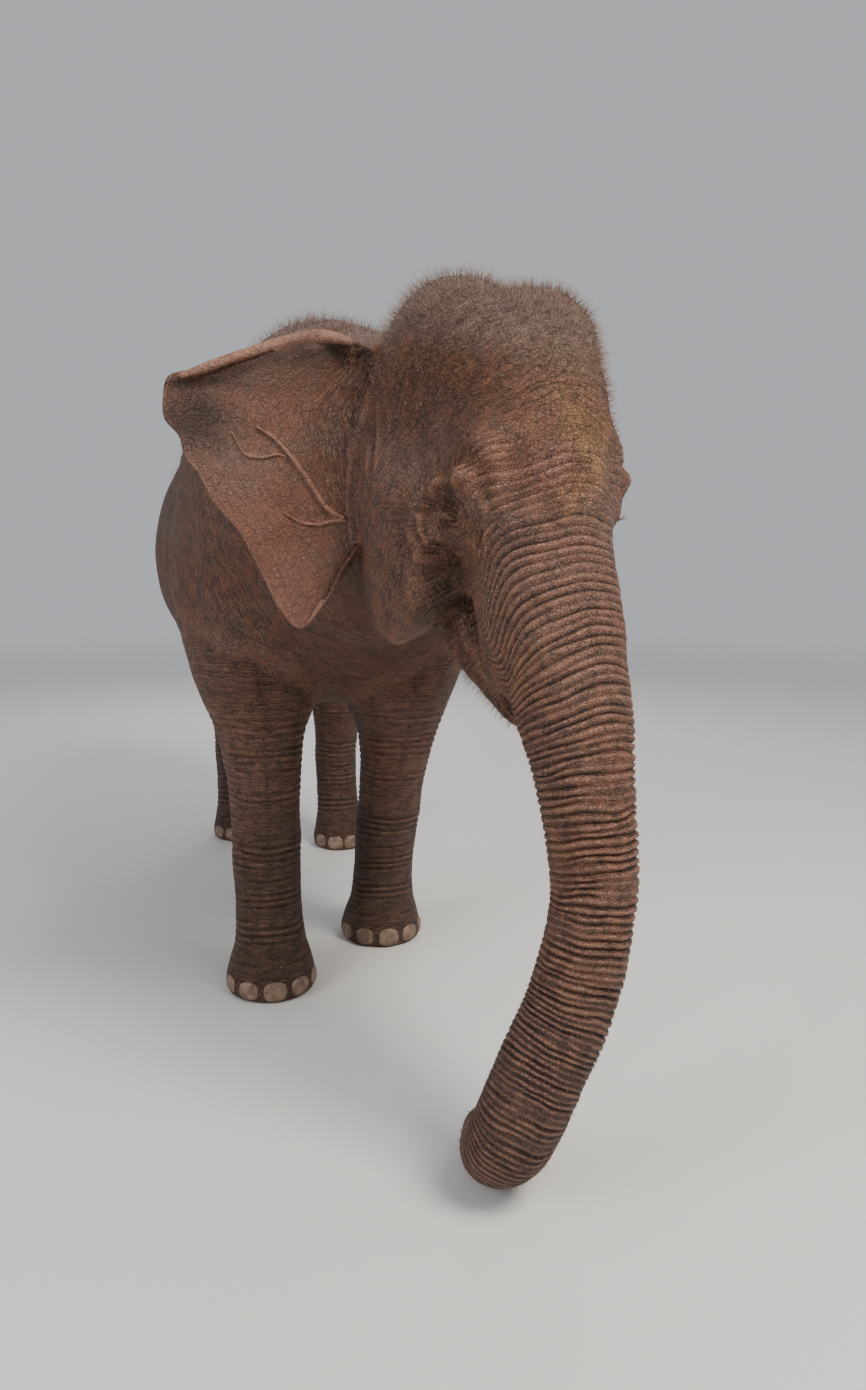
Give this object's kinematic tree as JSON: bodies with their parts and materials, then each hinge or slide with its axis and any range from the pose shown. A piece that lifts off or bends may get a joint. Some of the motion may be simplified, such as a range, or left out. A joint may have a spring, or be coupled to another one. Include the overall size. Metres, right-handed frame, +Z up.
{
  "type": "asian elephant",
  "caption": "Life-size standing Asian elephant cow with lowered head and spread right ear; the long ringed trunk hangs to the ground and curls at its tip.",
  "frame": {"origin": "under the middle of the bounding box, on the ground the feet stand on", "axes": "she faces -Y, her left side is +X, +Z up"},
  "size_m": [1.298, 3.8462, 2.2953],
  "materials": {
    "skin": "dry, wrinkled, dusted with reddish earth",
    "eye": "wet gloss",
    "nail": "dull horn",
    "tail_hair": "coarse hair"
  },
  "bodies": {
    "root": {"foreleg_upper_right": "skin", "foreleg_lower_right": "skin", "nail_fore_right_1": "nail", "nail_fore_right_2": "nail", "nail_fore_right_3": "nail", "nail_fore_right_4": "nail", "nail_fore_right_5": "nail", "forefoot_right": "skin", "foreleg_upper_left": "skin", "foreleg_lower_left": "skin", "nail_fore_left_1": "nail", "nail_fore_left_2": "nail", "nail_fore_left_3": "nail", "nail_fore_left_4": "nail", "nail_fore_left_5": "nail", "forefoot_left": "skin", "hindleg_upper_right": "skin", "hindleg_lower_right": "skin", "nail_hind_right_1": "nail", "nail_hind_right_2": "nail", "nail_hind_right_3": "nail", "nail_hind_right_4": "nail", "hindfoot_right": "skin", "hindleg_upper_left": "skin", "hindleg_lower_left": "skin", "nail_hind_left_1": "nail", "nail_hind_left_2": "nail", "nail_hind_left_3": "nail", "nail_hind_left_4": "nail", "hindfoot_left": "skin", "ear_right": "skin", "ear_left": "skin", "eye_right": "eye", "eye_left": "eye", "lower_jaw": "skin", "trunk_upper": "skin", "trunk_middle": "skin", "trunk_lower": "skin", "trunk_tip": "skin", "tail": "skin", "tail_tuft": "tail_hair", "torso": "skin", "neck": "skin", "head": "skin"}
  },
  "joints": []
}
